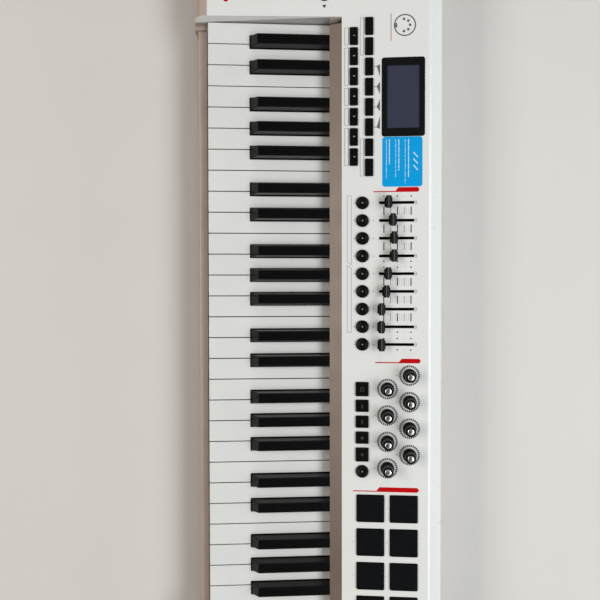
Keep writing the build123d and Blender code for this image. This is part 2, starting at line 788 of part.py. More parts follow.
with BuildPart() as display_module:
    with BuildSketch(spot(panel, *display_place, -wall - 0.2)):
        RectangleRounded(80, 43, 1.5)
    extrude(amount=-7)
    with BuildSketch(spot(panel, *display_place, -wall - 0.2)):
        Rectangle(screen_size[0] + 4, screen_size[1] + 4)
    extrude(amount=1.5)
    with BuildSketch(spot(panel, *display_place, -wall - 0.2)):
        Rectangle(screen_size[0] - 0.2, screen_size[1] - 0.2)
    extrude(amount=wall + 0.2)
save(display_module, "display_module")

with BuildPart() as display_window:
    with BuildSketch(spot(panel, *display_place, -1.2)):
        RectangleRounded(*display_size, 3.0)
    extrude(amount=2.0)
    chamfer(display_window.faces().sort_by(normal_axis(panel))[-1].edges(), 0.5)
    with BuildSketch(spot(panel, *display_place, -2)):
        Rectangle(*screen_size)
    extrude(amount=4, mode=Mode.SUBTRACT)
save(display_window, "display_window")

# ---------------------------------------------------------------- buttons, pads
def plunger_tip(drop):
    """Depth of a plunger's tip below the panel's face, over a switch on a board that deep."""
    return drop - switch_height - button_travel - 0.2


def button(surface, x, v, outline, flange, drop=board_drop):
    """One cap with a retaining flange under the panel and a plunger over its switch."""
    with BuildPart(mode=Mode.PRIVATE) as cap:
        with BuildSketch(spot(surface, x, v, cap_rise)):
            add(outline)
        extrude(amount=-(cap_rise + wall + flange_top + flange_thickness))
        fillet(cap.faces().sort_by(normal_axis(surface))[-1].edges(), 0.7)
        with BuildSketch(spot(surface, x, v, -(wall + flange_top))):
            add(flange)
        extrude(amount=-flange_thickness)
        with BuildSketch(spot(surface, x, v, -(wall + flange_top))):
            Circle(2.0)
        extrude(amount=-(plunger_tip(drop) - wall - flange_top))
    return cap.part


def box_button(surface, x, v, width, depth):
    """A rectangular button with rounded corners."""
    with BuildSketch(Plane.XY) as outline:
        RectangleRounded(width, depth, 0.8)
    with BuildSketch(Plane.XY) as flange:
        Rectangle(width + 2 * flange_width, depth + 2 * flange_width)
    return button(surface, x, v, outline.sketch, flange.sketch)


def round_button(surface, x, v, drop=board_drop):
    """A round button whose top is hollowed by a shallow spherical dish."""
    dish = 1.0
    dish_radius = (round_radius - 1.1) ** 2 / (2 * dish) + dish / 2
    outline = round_hole_outline(round_radius)
    flange = round_hole_outline(round_radius + flange_width)
    cap = button(surface, x, v, outline, flange, drop=drop)
    centre = spot(surface, x, v, cap_rise - dish + dish_radius)
    return cap - centre.location * Sphere(dish_radius, mode=Mode.PRIVATE)


with BuildPart() as function_buttons:
    for x, v in function_places:
        add(box_button(panel, x, v, *function_cap))
save(function_buttons, "function_buttons")

with BuildPart() as slider_buttons:
    for x, v in round_places:
        add(round_button(panel, x, v))
save(slider_buttons, "slider_buttons")

with BuildPart() as transport_buttons:
    for x, width in transport_caps:
        add(box_button(panel, x, transport_v, width, transport_depth))
    add(round_button(panel, *record_place))
save(transport_buttons, "transport_buttons")

with BuildPart() as octave_buttons:
    for x, v in octave_places:
        add(round_button(cheek, x, v, drop=octave_board_drop))
save(octave_buttons, "octave_buttons")

for number, (x, v) in enumerate(pad_places, start=1):
    with BuildPart() as pad:
        with BuildSketch(spot(panel, x, v, cap_rise)):
            RectangleRounded(pad_size, pad_size, 2.0)
        extrude(amount=-(cap_rise + wall + flange_top + flange_thickness))
        fillet(pad.faces().sort_by(normal_axis(panel))[-1].edges(), 1.2)
        with BuildSketch(spot(panel, x, v, -(wall + flange_top))):
            RectangleRounded(pad_size + 2 * flange_width, pad_size + 2 * flange_width, 2.0)
        extrude(amount=-flange_thickness)
        with BuildSketch(spot(panel, x, v, -(wall + flange_top))):
            RectangleRounded(20, 20, 3)
        extrude(amount=-(board_drop - 0.6 - button_travel - 0.2 - wall - flange_top))
    save(pad, f"pad_{number}")

# ---------------------------------------------------------------- sliders, knobs
cap_length = 8.5
cap_width = 13.3
cap_foot_width = 10.2
cap_clear = 0.8  # underside of a slider cap above the panel
cap_shoulder = 5.6  # where the cap widens from its foot
cap_top = 12.0

for number, (x, v) in enumerate(zip(slider_places, slider_rest_v), start=1):
    side = Plane(origin=spot(panel, x - cap_width / 2, v).origin, x_dir=panel.y_dir, z_dir=(1, 0, 0))
    with BuildPart() as slider_cap:
        with BuildSketch(side):
            with BuildLine():
                Polyline(
                    (-cap_length / 2 + 1.6, cap_shoulder), (-cap_length / 2 + 1.2, 10.2),
                    (-0.9, 10.8), (-0.9, cap_top), (0.9, cap_top), (0.9, 10.8),
                    (cap_length / 2 - 1.2, 10.2), (cap_length / 2 - 1.6, cap_shoulder),
                    close=True,
                )
            make_face()
        extrude(amount=cap_width)
        ends = slider_cap.faces().filter_by(Axis.X).edges()
        fillet(ends.sort_by(normal_axis(panel))[1:], 0.5)
        with BuildSketch(spot(panel, x, v, cap_shoulder + 1.2)):
            RectangleRounded(cap_foot_width, cap_length, 1.5)
        extrude(amount=-(cap_shoulder + 1.2 - cap_clear))
        with BuildSketch(spot(panel, x, v, cap_clear)):
            Rectangle(*slider_stem)
        extrude(amount=-(cap_clear + board_drop - 2.5))
    save(slider_cap, f"slider_cap_{number}")

knob_clear = 0.8
knob_height = 17.0
skirt_radius = 7.6
knob_top_radius = 5.8

for number, (x, v) in enumerate(knob_places, start=1):
    axis_plane = Plane(origin=spot(panel, x, v).origin, x_dir=(1, 0, 0), z_dir=-panel.y_dir)
    with BuildPart() as knob:
        with BuildSketch(axis_plane):
            with BuildLine():
                Polyline(
                    (0, -board_drop + 2), (knob_shaft_radius, -board_drop + 2),
                    (knob_shaft_radius, knob_clear), (skirt_radius, knob_clear),
                    (skirt_radius, 3.2), (skirt_radius - 0.8, 4.2),
                    (knob_top_radius + 0.35, 5.0), (knob_top_radius, knob_height - 0.8),
                    (knob_top_radius - 0.8, knob_height), (0, knob_height), close=True,
                )
            make_face()
        revolve(axis=Axis(spot(panel, x, v).origin, panel.z_dir))
        # flutes round the grip, and a pointer groove across the top's edge
        with BuildSketch(spot(panel, x, v, 5.6)):
            with PolarLocations(knob_top_radius + 0.75, 18, 10):
                Circle(1.0)
        extrude(amount=knob_height, mode=Mode.SUBTRACT)
        with BuildSketch(spot(panel, x, v, knob_height - 0.5)):
            with Locations((0, knob_top_radius - 1.2)):
                Rectangle(0.9, 2.6)
        extrude(amount=2, mode=Mode.SUBTRACT)
    save(knob, f"knob_{number}")

# ---------------------------------------------------------------- wheels and their bracket
wheel_plane_x = {name: keys_left + x for name, x in wheel_places.items()}
for name, x in wheel_plane_x.items():
    with BuildPart() as wheel:
        with BuildSketch(Plane.YZ.offset(x - wheel_width / 2)):
            with Locations((wheel_y, wheel_z)):
                Circle(wheel_radius)
                Circle(wheel_axle_radius + 0.3, mode=Mode.SUBTRACT)
        extrude(amount=wheel_width)
        fillet(wheel.edges().filter_by(lambda edge: edge.length > 100), 1.5)
        # grip notches round the rim, and the finger groove at the top
        with BuildSketch(Plane.YZ.offset(x - wheel_width / 2)):
            with Locations((wheel_y, wheel_z)):
                with PolarLocations(wheel_radius + 0.5, 8, 50, 80):
                    Circle(1.1)
            with Locations((wheel_y, wheel_z + wheel_radius + 3.2)):
                Circle(6.0)
        extrude(amount=wheel_width, mode=Mode.SUBTRACT)
        # lightening pockets in both sides
        for face_x, inward in ((x - wheel_width / 2, 1), (x + wheel_width / 2, -1)):
            with BuildSketch(Plane.YZ.offset(face_x)):
                with Locations((wheel_y, wheel_z)):
                    Circle(wheel_radius - 7)
                    Circle(7.5, mode=Mode.SUBTRACT)
            extrude(amount=inward * 3.5, mode=Mode.SUBTRACT)
    save(wheel, name)

bracket_top = wheel_z + 6
with BuildPart() as wheel_bracket:
    with BuildSketch(Plane.XY.offset(floor_z + wall)):
        with Locations((sum(wheel_plane_x.values()) / 2, wheel_y)):
            Rectangle(wheel_plane_x["mod_wheel"] - wheel_plane_x["pitch_wheel"] + 22, 30)
    extrude(amount=2)
    for x in wheel_plane_x.values():
        for cheek_x in (x - wheel_width / 2 - 3.3, x + wheel_width / 2 + 1.3):
            with BuildSketch(Plane.YZ.offset(cheek_x)):
                with BuildLine():
                    Polyline((wheel_y - 12, floor_z + wall), (wheel_y - 6, bracket_top),
                             (wheel_y + 6, bracket_top), (wheel_y + 12, floor_z + wall), close=True)
                make_face()
            extrude(amount=2)
        with BuildSketch(Plane.YZ.offset(x - wheel_width / 2 - 3.3)):
            with Locations((wheel_y, wheel_z)):
                Circle(wheel_axle_radius)
        extrude(amount=wheel_width + 6.6)
save(wheel_bracket, "wheel_bracket")

# ---------------------------------------------------------------- back panel
switch_pivot_y = case_back - 4.0
rocker_width = 8.4
rocker_lean = 8.0  # it rests switched off, leaning towards its lower end
rocker_pin_radius = 0.8
socket_depth = 16.0
socket_face = case_back - 0.2
inner_back = case_back - wall

rocker_dir = (0, cos(radians(rocker_lean)), sin(radians(rocker_lean)))
rocker_start = (switch_x - rocker_width / 2, switch_pivot_y, socket_z)
rocker_plane = Plane(origin=rocker_start, x_dir=rocker_dir, z_dir=(1, 0, 0))
with BuildPart() as power_switch:
    with BuildSketch(rocker_plane) as rocker:
        with BuildLine():
            Polyline((-4.0, -3.4), (-4.0, 3.4), (3.8, 5.4), (2.6, 0), (3.8, -5.4), close=True)
        make_face()
        fillet(corner(rocker, 3.8, 5.4), 0.6)
        fillet(corner(rocker, 3.8, -5.4), 0.6)
        Circle(rocker_pin_radius + 0.3, mode=Mode.SUBTRACT)
    extrude(amount=rocker_width)
save(power_switch, "power_switch")


def socket_body(x, width, height, hole_plan, front=socket_face):
    """A socket's body behind the back wall with its neck through the wall."""
    with BuildSketch(facing_back(x, front)) as neck:
        add(hole_plan)
    extrude(neck.sketch, amount=-(front - inner_back))
    with BuildSketch(facing_back(x, inner_back)) as body:
        Rectangle(width, height)
    extrude(body.sketch, amount=-socket_depth)


def bore(x, rise, radius, depth):
    """Cuts a round hole into a socket from its face, rise above the sockets' middle."""
    with BuildSketch(facing_back(x, socket_face + 1)) as mouth:
        with Locations((0, rise)):
            Circle(radius)
    extrude(mouth.sketch, amount=-(depth + 1), mode=Mode.SUBTRACT)


def ring(x, outer, inner, depth):
    """Cuts a round groove into a socket, leaving its core."""
    with BuildSketch(facing_back(x, case_back + 1)) as groove:
        Circle(outer)
        Circle(inner, mode=Mode.SUBTRACT)
    extrude(groove.sketch, amount=-(depth + 1 + case_back - socket_face), mode=Mode.SUBTRACT)


jack_radius = 3.25  # takes a 6.35 mm plug
jack_depth = 17.5
pin_circle = 3.75  # radius of the circle of five pins
with BuildPart() as rear_sockets:
    for x in pedal_places:
        socket_body(x, 13, 13, round_hole_outline(5.5))
        bore(x, 0, jack_radius, jack_depth)
    for x in midi_places:
        socket_body(x, 20, 19, round_hole_outline(8.0))
        ring(x, 7.0, 6.0, 9)
        for angle in (0, 45, 90, 135, 180):
            bore(x + pin_circle * cos(radians(angle)), -pin_circle * sin(radians(angle)), 0.75, 7)
    socket_body(dc_x, 10, 11, round_hole_outline(5.3))
    ring(dc_x, 2.75, 1.0, 9.5)
    usb_shell = facing_back(usb_x, socket_face)
    with BuildSketch(usb_shell) as usb_face:
        Rectangle(12.0, 10.8)
    socket_body(usb_x, 12.0, 11.4, usb_face.sketch_local)
    with BuildSketch(usb_shell.offset(1)):
        Rectangle(8.5, 7.8)
        Rectangle(5.6, 3.2, mode=Mode.SUBTRACT)
    extrude(amount=-10, mode=Mode.SUBTRACT)
    # the power switch's housing, with the pin that its rocker turns on
    with BuildSketch(facing_back(switch_x, socket_face)):
        Rectangle(9.4, 13.4)
    extrude(amount=-(socket_face - inner_back))
    with BuildSketch(facing_back(switch_x, inner_back)):
        Rectangle(13, 17)
    extrude(amount=-10)
    with BuildSketch(facing_back(switch_x, case_back)):
        Rectangle(rocker_width + 0.6, 12.6)
    extrude(amount=-9, mode=Mode.SUBTRACT)
    with BuildSketch(Plane.YZ.offset(switch_x - 5.5)):
        with Locations((switch_pivot_y, socket_z)):
            Circle(rocker_pin_radius)
    extrude(amount=11)
    # the security slot's plate
    with BuildSketch(facing_back(lock_x, inner_back)):
        Rectangle(14, 10)
        RectangleRounded(7.2, 3.2, 1, mode=Mode.SUBTRACT)
    extrude(amount=-2)
save(rear_sockets, "rear_sockets")

# ---------------------------------------------------------------- feet, screws
with BuildPart() as rubber_feet:
    with BuildSketch(Plane.XY):
        with Locations(*foot_places):
            Circle(foot_radius)
    extrude(amount=floor_z + 1.0)
    chamfer(rubber_feet.faces().sort_by(Axis.Z)[:6].edges(), 0.8)
save(rubber_feet, "rubber_feet")

screw_seat_z = floor_z + 12.0
with BuildPart() as case_screws:
    with BuildSketch(Plane.XY.offset(screw_seat_z)):
        with Locations(*screw_places):
            Circle(screw_head_radius)
    extrude(amount=-2.2)
    with BuildSketch(Plane.XY.offset(screw_seat_z)):
        with Locations(*screw_places):
            Circle(screw_radius)
    extrude(amount=20)
    with BuildSketch(Plane.XY.offset(screw_seat_z - 2.2)):
        with Locations(*screw_places):
            Rectangle(3.6, 0.8)
            Rectangle(0.8, 3.6)
    extrude(amount=1.2, mode=Mode.SUBTRACT)
save(case_screws, "case_screws")
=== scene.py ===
"""Looks of a 49-key MIDI controller keyboard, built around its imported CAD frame. Units are metres."""
import json
import random
from math import cos, pi, radians, sin

import bmesh
import bpy
from mathutils import Euler, Matrix, Vector


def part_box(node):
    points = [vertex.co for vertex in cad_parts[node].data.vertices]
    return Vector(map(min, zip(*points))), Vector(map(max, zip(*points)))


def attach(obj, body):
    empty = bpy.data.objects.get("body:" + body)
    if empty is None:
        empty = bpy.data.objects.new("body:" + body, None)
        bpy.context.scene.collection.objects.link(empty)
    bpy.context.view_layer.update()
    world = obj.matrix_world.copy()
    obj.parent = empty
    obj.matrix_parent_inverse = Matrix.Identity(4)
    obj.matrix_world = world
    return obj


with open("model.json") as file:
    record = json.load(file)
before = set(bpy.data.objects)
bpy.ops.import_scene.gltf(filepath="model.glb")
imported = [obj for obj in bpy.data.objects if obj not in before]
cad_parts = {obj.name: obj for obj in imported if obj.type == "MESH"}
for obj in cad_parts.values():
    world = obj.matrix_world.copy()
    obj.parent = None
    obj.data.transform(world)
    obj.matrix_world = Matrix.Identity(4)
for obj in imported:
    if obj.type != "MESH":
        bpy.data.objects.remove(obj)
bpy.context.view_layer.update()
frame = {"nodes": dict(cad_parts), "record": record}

MM = 0.001
PRINT_LOW, PRINT_HIGH = 0.02, 0.07  # where printed ink starts and ends above a face, in millimetres
nodes = frame["nodes"]
joints = {joint["name"]: joint for joint in frame["record"]["behaviour"]["joints"]}


# ------------------------------------------------------------------ surfaces of the case
class Surface:
    """A flat face of the case. x runs along the keys and v up the face's slope, in millimetres."""

    def __init__(self, origin, normal):
        self.origin = Vector(origin)
        self.normal = Vector(normal).normalized()
        self.right = Vector((1, 0, 0))
        self.up = self.normal.cross(self.right).normalized()

    def at(self, x, v, height=0.0):
        """The point at x, v, raised by height (all in millimetres)."""
        return self.origin + (self.right * x + self.up * v + self.normal * height) * MM

    def matrix(self, x, v, height):
        """A frame that stands above the face at x, v, with its Z along the normal."""
        basis = Matrix((self.right, self.up, self.normal)).transposed().to_4x4()
        return Matrix.Translation(self.at(x, v, height)) @ basis


KEY_GAP = 0.9 * MM
keys_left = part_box("key_c")[0][0] - KEY_GAP / 2
keys_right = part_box("key_c")[1][0] + KEY_GAP / 2
keys_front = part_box("key_c")[0][1]
key_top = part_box("key_c")[1][2]
trim_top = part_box("key_surround")[1]
panel_normal = -Vector(joints["pad_1_press"]["axis"])
cheek_normal = -Vector(joints["octave_buttons_press"]["axis"])
panel = Surface((keys_left, trim_top[1], trim_top[2]), panel_normal)
cheek_run = trim_top[1] - keys_front
cheek_rise = cheek_run * -cheek_normal.y / cheek_normal.z
cheek = Surface((keys_left, keys_front, trim_top[2] - cheek_rise), cheek_normal)


def on_panel(point):
    """A point's x and v on the panel, in millimetres."""
    offset = point - panel.origin
    return offset.dot(panel.right) / MM, offset.dot(panel.up) / MM


def panel_place(node):
    """Where a node's middle stands on the panel."""
    low, high = [Vector(corner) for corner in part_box(node)]
    return on_panel((low + high) / 2)


# ------------------------------------------------------------------ meshes
def new_object(name, mesh, material, smooth=False):
    """Links a mesh as an object with one material."""
    obj = bpy.data.objects.new(name, mesh)
    bpy.context.scene.collection.objects.link(obj)
    mesh.materials.append(material)
    for polygon in mesh.polygons:
        polygon.use_smooth = smooth
    return obj


def piece(name, bm, body, material, smooth=False):
    """Turns a bmesh into a piece that rides on a body and takes a material slot."""
    bmesh.ops.recalc_face_normals(bm, faces=bm.faces[:])
    mesh = bpy.data.meshes.new(name)
    bm.to_mesh(mesh)
    bm.free()
    obj = new_object(name, mesh, material, smooth)
    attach(obj, body)


def prism(bm, surface, outline, low=PRINT_LOW, high=PRINT_HIGH):
    """A closed prism over an outline of (x, v) points, between two heights above a surface."""
    bottom = [bm.verts.new(surface.at(x, v, low)) for x, v in outline]
    top = [bm.verts.new(surface.at(x, v, high)) for x, v in outline]
    bm.faces.new(top)
    bm.faces.new(bottom[::-1])
    for i in range(len(outline)):
        j = (i + 1) % len(outline)
        bm.faces.new((bottom[i], bottom[j], top[j], top[i]))


def band(bm, surface, inside, outside, low=PRINT_LOW, high=PRINT_HIGH):
    """A closed band between two outlines that have the same number of points."""
    loops = []
    for outline, height in ((inside, low), (outside, low), (outside, high), (inside, high)):
        loops.append([bm.verts.new(surface.at(x, v, height)) for x, v in outline])
    count = len(inside)
    for this, after in zip(loops, loops[1:] + loops[:1]):
        for i in range(count):
            j = (i + 1) % count
            bm.faces.new((this[i], this[j], after[j], after[i]))


def ring(bm, surface, x, v, inner, outer):
    """A closed flat ring about x, v."""
    band(bm, surface, disc_outline(x, v, inner, 48), disc_outline(x, v, outer, 48))


def box_outline(x, v, width, depth):
    """A rectangle's outline about x, v."""
    w, d = width / 2, depth / 2
    return [(x - w, v - d), (x + w, v - d), (x + w, v + d), (x - w, v + d)]


def round_box_outline(x, v, width, depth, radius, steps=6):
    """A rounded rectangle's outline about x, v."""
    points = []
    for corner, (sx, sv) in enumerate(((1, -1), (1, 1), (-1, 1), (-1, -1))):
        cx = x + sx * (width / 2 - radius)
        cv = v + sv * (depth / 2 - radius)
        for i in range(steps + 1):
            angle = (corner - 1) * pi / 2 + i * pi / 2 / steps
            points.append((cx + radius * cos(angle), cv + radius * sin(angle)))
    return points


def disc_outline(x, v, radius, segments=24):
    """A circle's outline about x, v."""
    return [
        (x + radius * cos(2 * pi * i / segments), v + radius * sin(2 * pi * i / segments))
        for i in range(segments)
    ]


def frame_lines(bm, surface, outline, thickness):
    """Printed lines along a closed outline, each side a prism of its own."""
    count = len(outline)
    for i in range(count):
        line(bm, surface, outline[i], outline[(i + 1) % count], thickness)


def line(bm, surface, start, end, thickness):
    """A printed line from start to end, with square ends."""
    along = (Vector(end) - Vector(start)).normalized() * thickness / 2
    across = Vector((-along.y, along.x))
    low, high = Vector(start) - along, Vector(end) + along
    prism(bm, surface, [tuple(point) for point in (low - across, high - across, high + across, low + across)])


def lathe(bm, matrix, profile, segments):
    """A solid of revolution about a matrix's Z axis, from (radius, height) points in millimetres.

    The profile starts at the rim of a flat underside and ends on the axis.
    """
    loops = []
    for radius, height in profile:
        outline = disc_outline(0, 0, radius, segments) if radius else [(0, 0)]
        loops.append([bm.verts.new(matrix @ (Vector((x, y, height)) * MM)) for x, y in outline])
    for low, high in zip(loops, loops[1:]):
        for i in range(segments):
            j = (i + 1) % segments
            corners = (low[i], low[j], high[j % len(high)], high[i % len(high)])
            bm.faces.new(dict.fromkeys(corners))
    bm.faces.new(loops[0][::-1])


def glyphs(bm, surface, text, x, v, size, low=PRINT_LOW):
    """A number set flat on a surface, about x, v."""
    thickness = PRINT_HIGH - PRINT_LOW
    curve = bpy.data.curves.new("number", "FONT")
    curve.body = text
    curve.size = size * MM
    curve.extrude = thickness / 2 * MM
    curve.resolution_u = 3
    curve.align_x = "CENTER"
    curve.align_y = "CENTER"
    holder = bpy.data.objects.new("number", curve)
    bpy.context.scene.collection.objects.link(holder)
    depsgraph = bpy.context.evaluated_depsgraph_get()
    mesh = bpy.data.meshes.new_from_object(holder.evaluated_get(depsgraph))
    mesh.transform(surface.matrix(x, v, low + thickness / 2))
    bm.from_mesh(mesh)
    bpy.data.meshes.remove(mesh)
    bpy.data.objects.remove(holder)
    bpy.data.curves.remove(curve)


# ------------------------------------------------------------------ materials
class Recipe:
    """A material's node tree, with short ways to add and join nodes."""

    def __init__(self, name):
        self.material = bpy.data.materials.new(name)
        self.material.use_nodes = True
        self.tree = self.material.node_tree
        self.shader = self.tree.nodes["Principled BSDF"]
        self.coords = self.tree.nodes.new("ShaderNodeTexCoord").outputs["Object"]

    def add(self, kind, inputs=None, **settings):
        """Adds a node, sets its properties, and fills its inputs with values or sockets."""
        node = self.tree.nodes.new(kind)
        for key, value in settings.items():
            setattr(node, key, value)
        for key, value in (inputs or {}).items():
            if isinstance(value, bpy.types.NodeSocket):
                self.tree.links.new(value, node.inputs[key])
            else:
                node.inputs[key].default_value = value
        return node

    def set(self, **values):
        """Sets the shader's own sockets: values as numbers, sockets as links."""
        for key, value in values.items():
            socket = self.shader.inputs[key.replace("_", " ")]
            if isinstance(value, bpy.types.NodeSocket):
                self.tree.links.new(value, socket)
            else:
                socket.default_value = value

    def stretched(self, scale):
        """Object coordinates scaled along each axis."""
        return self.add("ShaderNodeMapping", {"Vector": self.coords, "Scale": scale}).outputs["Vector"]

    def noise(self, scale, detail=3.0, roughness=0.55, vector=None):
        """Noise between 0 and 1."""
        node = self.add(
            "ShaderNodeTexNoise",
            {"Vector": vector or self.coords, "Scale": scale, "Detail": detail, "Roughness": roughness},
        )
        return node.outputs["Fac"]

    def ramp(self, value, low, high, to_low, to_high):
        """Maps a value from one range to another, held at the ends."""
        node = self.add("ShaderNodeMapRange", {
            "Value": value, "From Min": low, "From Max": high, "To Min": to_low, "To Max": to_high,
        })
        return node.outputs["Result"]

    def mix(self, factor, first, second, blend="MIX"):
        """A blend of two colours, each a socket or red, green and blue."""
        first, second = [c if isinstance(c, bpy.types.NodeSocket) else (*c, 1) for c in (first, second)]
        inputs = {0: factor, 6: first, 7: second}  # the node's factor and its two colour sockets
        return self.add("ShaderNodeMix", inputs, data_type="RGBA", blend_type=blend).outputs[2]

    def math(self, operation, first, second=0.0):
        """Arithmetic on two values."""
        return self.add("ShaderNodeMath", {0: first, 1: second}, operation=operation).outputs[0]

    def bump(self, *layers):
        """Stacks bump layers given as (height socket, strength, distance in millimetres)."""
        normal = None
        for height, strength, distance in layers:
            inputs = {"Height": height, "Strength": strength, "Distance": distance * MM}
            if normal is not None:
                inputs["Normal"] = normal
            normal = self.add("ShaderNodeBump", inputs).outputs["Normal"]
        self.set(Normal=normal)


def moulded(name, colour, roughness, grain=0.25, spread=0.04, coat=0.0, drift=0.06, shine=0.5):
    """Moulded plastic: slight colour drift, uneven gloss and a fine surface grain."""
    recipe = Recipe(name)
    cloud = recipe.noise(9, 4)
    fine = recipe.noise(2200, 2)
    smudge = recipe.noise(38, 5, 0.65)
    dark = tuple(c * (1 - drift) for c in colour)
    light = tuple(min(1, c * (1 + drift)) for c in colour)
    recipe.set(
        Base_Color=recipe.mix(recipe.ramp(cloud, 0.3, 0.7, 0, 1), dark, light),
        Roughness=recipe.ramp(smudge, 0.3, 0.7, roughness - spread, roughness + spread),
        Specular_IOR_Level=shine,
    )
    if coat:
        recipe.set(Coat_Weight=coat, Coat_Roughness=0.08)
    recipe.bump((fine, grain, 0.02), (smudge, grain * 0.3, 0.03))
    return recipe.material


def shell(colour, front_band_and_shade_colour):
    """The white top shell: glossy plastic, its front edge in the trim's warm brown, partly the trim's own
    colour and partly painted shade and reflection.
    """
    recipe = Recipe("shell")
    cloud = recipe.noise(9, 4)
    smudge = recipe.noise(38, 5, 0.65)
    place = recipe.add("ShaderNodeSeparateXYZ", {"Vector": recipe.coords}).outputs
    white = recipe.mix(recipe.ramp(cloud, 0.3, 0.7, 0, 1), tuple(c * 0.99 for c in colour), colour)
    edge = recipe.math("ADD", place["Y"], recipe.ramp(smudge, 0.3, 0.7, -0.1 * MM, 0.1 * MM))
    # The band ahead of the keys' front takes the rail's brown, which carries painted shade and reflection.
    behind = recipe.ramp(edge, keys_front - 1.3 * MM, keys_front + 0.3 * MM, 0, 1)
    recipe.set(
        Base_Color=recipe.mix(behind, front_band_and_shade_colour, white),
        Roughness=recipe.ramp(smudge, 0.3, 0.7, 0.27, 0.295),
        Coat_Weight=0.25,
        Coat_Roughness=0.08,
    )
    recipe.bump((recipe.noise(2200, 2), 0.02, 0.02), (smudge, 0.006, 0.03))
    return recipe.material


def ivory():
    """White key plastic: polished, with lengthwise hairlines and finger smudges; the sides below the top are
    painted dark as shade in the gaps between keys.
    """
    recipe = Recipe("ivory")
    cloud = recipe.noise(14, 3)
    smudge = recipe.noise(55, 5, 0.7)
    hairs = recipe.noise(60, 2, 0.5, recipe.stretched((40, 1.2, 20)))
    height = recipe.add("ShaderNodeSeparateXYZ", {"Vector": recipe.coords}).outputs["Z"]
    facing = recipe.add("ShaderNodeNewGeometry").outputs["True Normal"]
    sideways = recipe.math("ABSOLUTE", recipe.add("ShaderNodeSeparateXYZ", {"Vector": facing}).outputs["X"])
    # Painted shade: the key sides below the top are darkened to stand for the shade in the narrow gaps
    # between keys.
    below_top = recipe.ramp(height, key_top - 1.6 * MM, key_top - 0.6 * MM, 1, 0)
    painted_gap_shade = recipe.math("MULTIPLY", below_top, recipe.ramp(sideways, 0.8, 0.95, 0, 0.88))
    unshaded_ivory = recipe.mix(recipe.ramp(cloud, 0.3, 0.7, 0, 1), (0.665, 0.675, 0.665), (0.70, 0.71, 0.70))
    recipe.set(
        Base_Color=recipe.mix(painted_gap_shade, unshaded_ivory, (0.06, 0.055, 0.05)),
        Roughness=recipe.ramp(smudge, 0.35, 0.75, 0.22, 0.28),
        Specular_IOR_Level=0.5,
        Subsurface_Weight=0.05,
        Subsurface_Scale=0.002,
        Coat_Weight=0.25,
        Coat_Roughness=0.06,
    )
    recipe.bump((hairs, 0.05, 0.02), (smudge, 0.04, 0.03))
    return recipe.material


def trim_paint(shaded_lip_colour, shaded_rail_colour, lit_side_colour, roughness):
    """Painted warm silver trim with light painted into it: the lip behind the keys is darker and browner as
    painted shade and reflection, the rail is brown as painted shade and reflection, and the bevels beside the
    keys are paler as painted light.
    """
    recipe = Recipe("trim")
    place = recipe.add("ShaderNodeSeparateXYZ", {"Vector": recipe.coords}).outputs
    middle = (keys_left + keys_right) / 2
    half = (keys_right - keys_left) / 2
    above_rail = recipe.ramp(place["Z"], 27 * MM, 31 * MM, 0, 1)
    on_lip = recipe.ramp(place["Z"], 46 * MM, 50 * MM, 0, 1)
    reach = recipe.math("ABSOLUTE", recipe.math("SUBTRACT", place["X"], middle))
    past_keys = recipe.ramp(reach, half - 0.5 * MM, half + 1.2 * MM, 0, 1)
    beside = recipe.math("MULTIPLY", past_keys, above_rail)
    # Painted light and shade: the lip and rail take darker, browner shaded tones and the bevels beside the
    # keys take a paler lit tone of the same silver trim.
    ahead = recipe.mix(on_lip, shaded_rail_colour, shaded_lip_colour)
    lit_and_shaded_tone = recipe.mix(beside, ahead, lit_side_colour)
    flake = recipe.noise(2600, 2)
    cloud = recipe.noise(30, 4)
    darker = recipe.add("ShaderNodeHueSaturation", {
        "Color": lit_and_shaded_tone, "Value": recipe.ramp(cloud, 0.3, 0.7, 0.95, 1.04),
    })
    recipe.set(
        Base_Color=darker.outputs["Color"],
        Metallic=0.12,
        Roughness=recipe.ramp(cloud, 0.3, 0.7, roughness - 0.04, roughness + 0.05),
    )
    recipe.bump((flake, 0.12, 0.02), (cloud, 0.05, 0.1))
    return recipe.material


def ebony():
    """Black key plastic: satin, drawn lengthwise."""
    recipe = Recipe("ebony")
    hairs = recipe.noise(70, 3, 0.6, recipe.stretched((36, 0.8, 18)))
    smudge = recipe.noise(70, 4, 0.7)
    recipe.set(
        Base_Color=recipe.mix(
            recipe.ramp(hairs, 0.35, 0.65, 0, 1), (0.0022, 0.0022, 0.0022), (0.0042, 0.0042, 0.0043)
        ),
        Roughness=recipe.ramp(smudge, 0.3, 0.7, 0.2, 0.26),
        Specular_IOR_Level=0.17,
    )
    recipe.bump((hairs, 0.04, 0.03), (recipe.noise(1800, 2), 0.03, 0.01))
    return recipe.material


def metal(name, colour, roughness, streak=(1, 1, 1), anisotropy=0.0):
    """Metal with fine scratches along its streak."""
    recipe = Recipe(name)
    scratches = recipe.noise(900, 3, 0.6, recipe.stretched(streak))
    dull = recipe.noise(60, 4)
    recipe.set(
        Base_Color=recipe.mix(recipe.ramp(dull, 0.3, 0.7, 0, 1), tuple(c * 0.86 for c in colour), colour),
        Metallic=1.0,
        Roughness=recipe.ramp(scratches, 0.3, 0.7, roughness * 0.75, roughness * 1.3),
    )
    if anisotropy:
        tangent = recipe.add("ShaderNodeTangent", direction_type="RADIAL", axis="Z")
        recipe.set(Anisotropic=anisotropy, Tangent=tangent.outputs["Tangent"])
    recipe.bump((scratches, 0.12, 0.01))
    return recipe.material


